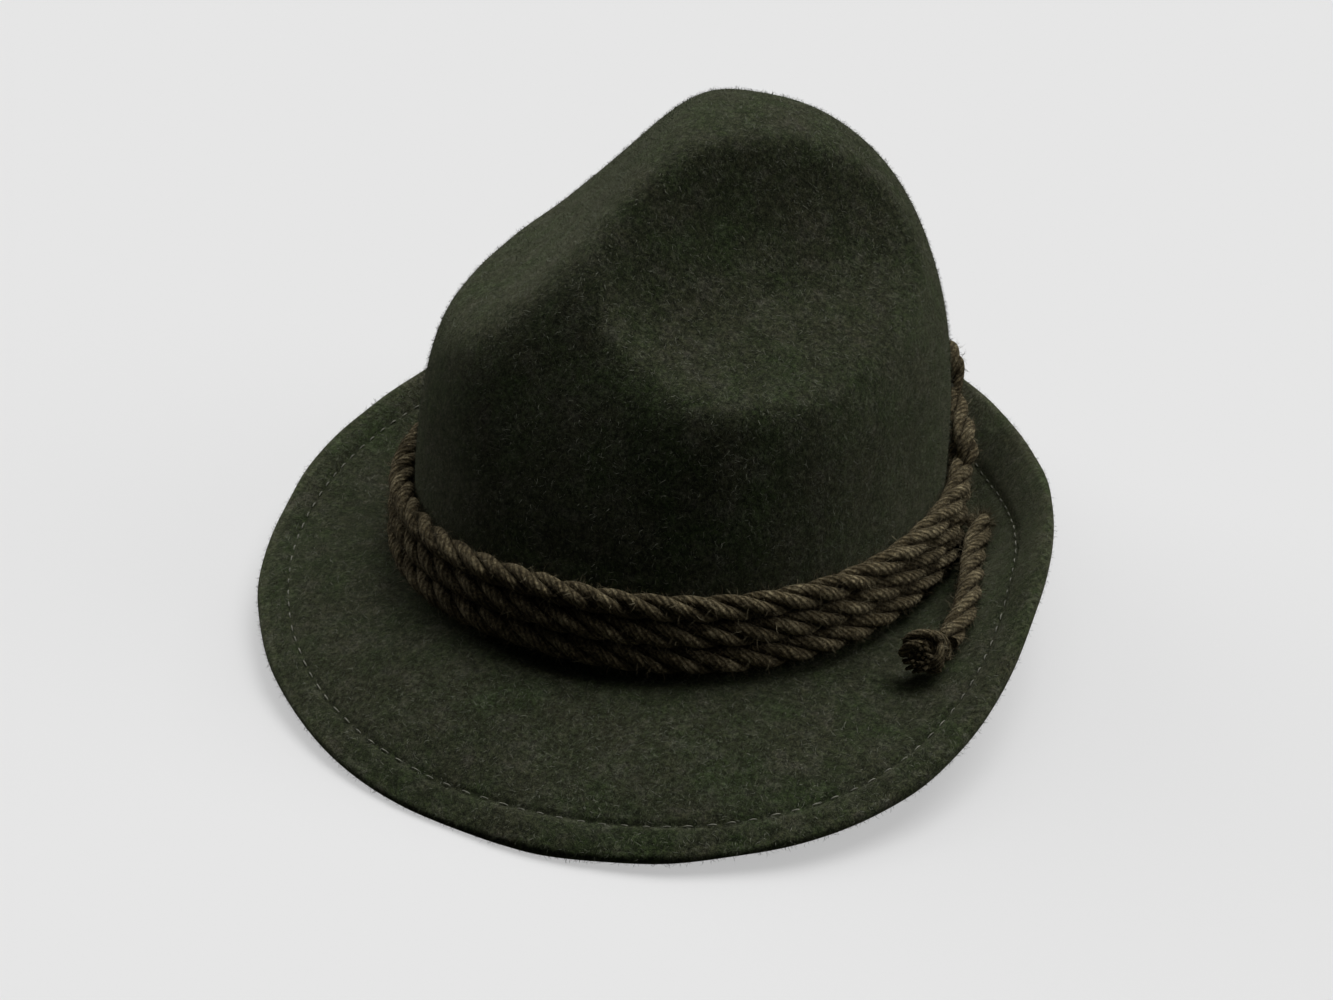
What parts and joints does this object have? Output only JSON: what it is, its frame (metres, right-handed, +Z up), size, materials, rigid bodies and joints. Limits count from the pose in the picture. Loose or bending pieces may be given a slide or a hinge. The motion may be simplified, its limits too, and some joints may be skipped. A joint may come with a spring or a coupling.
{
  "type": "tyrolean hat",
  "caption": "Tyrolean felt hat with a dented crown, a brim turned down in front and up behind, and turns of twisted cord with a loop and a knotted tail.",
  "frame": {"origin": "on the surface the hat rests on, under the middle of its outline", "axes": "+Z up, -Y towards the front of the hat, +X towards the wearer's left; the hat rests on the front edge of its brim and on the bend at the back"},
  "size_m": [0.2848, 0.321, 0.1622],
  "materials": {
    "felt": "matte wool felt",
    "cord": "twisted wool yarn"
  },
  "bodies": {
    "root": {"felt_body": "felt", "cord_turn_1": "cord", "cord_turn_2": "cord", "cord_turn_3": "cord", "cord_loop": "cord", "cord_tail": "cord", "tail_knot": "cord"}
  },
  "joints": []
}
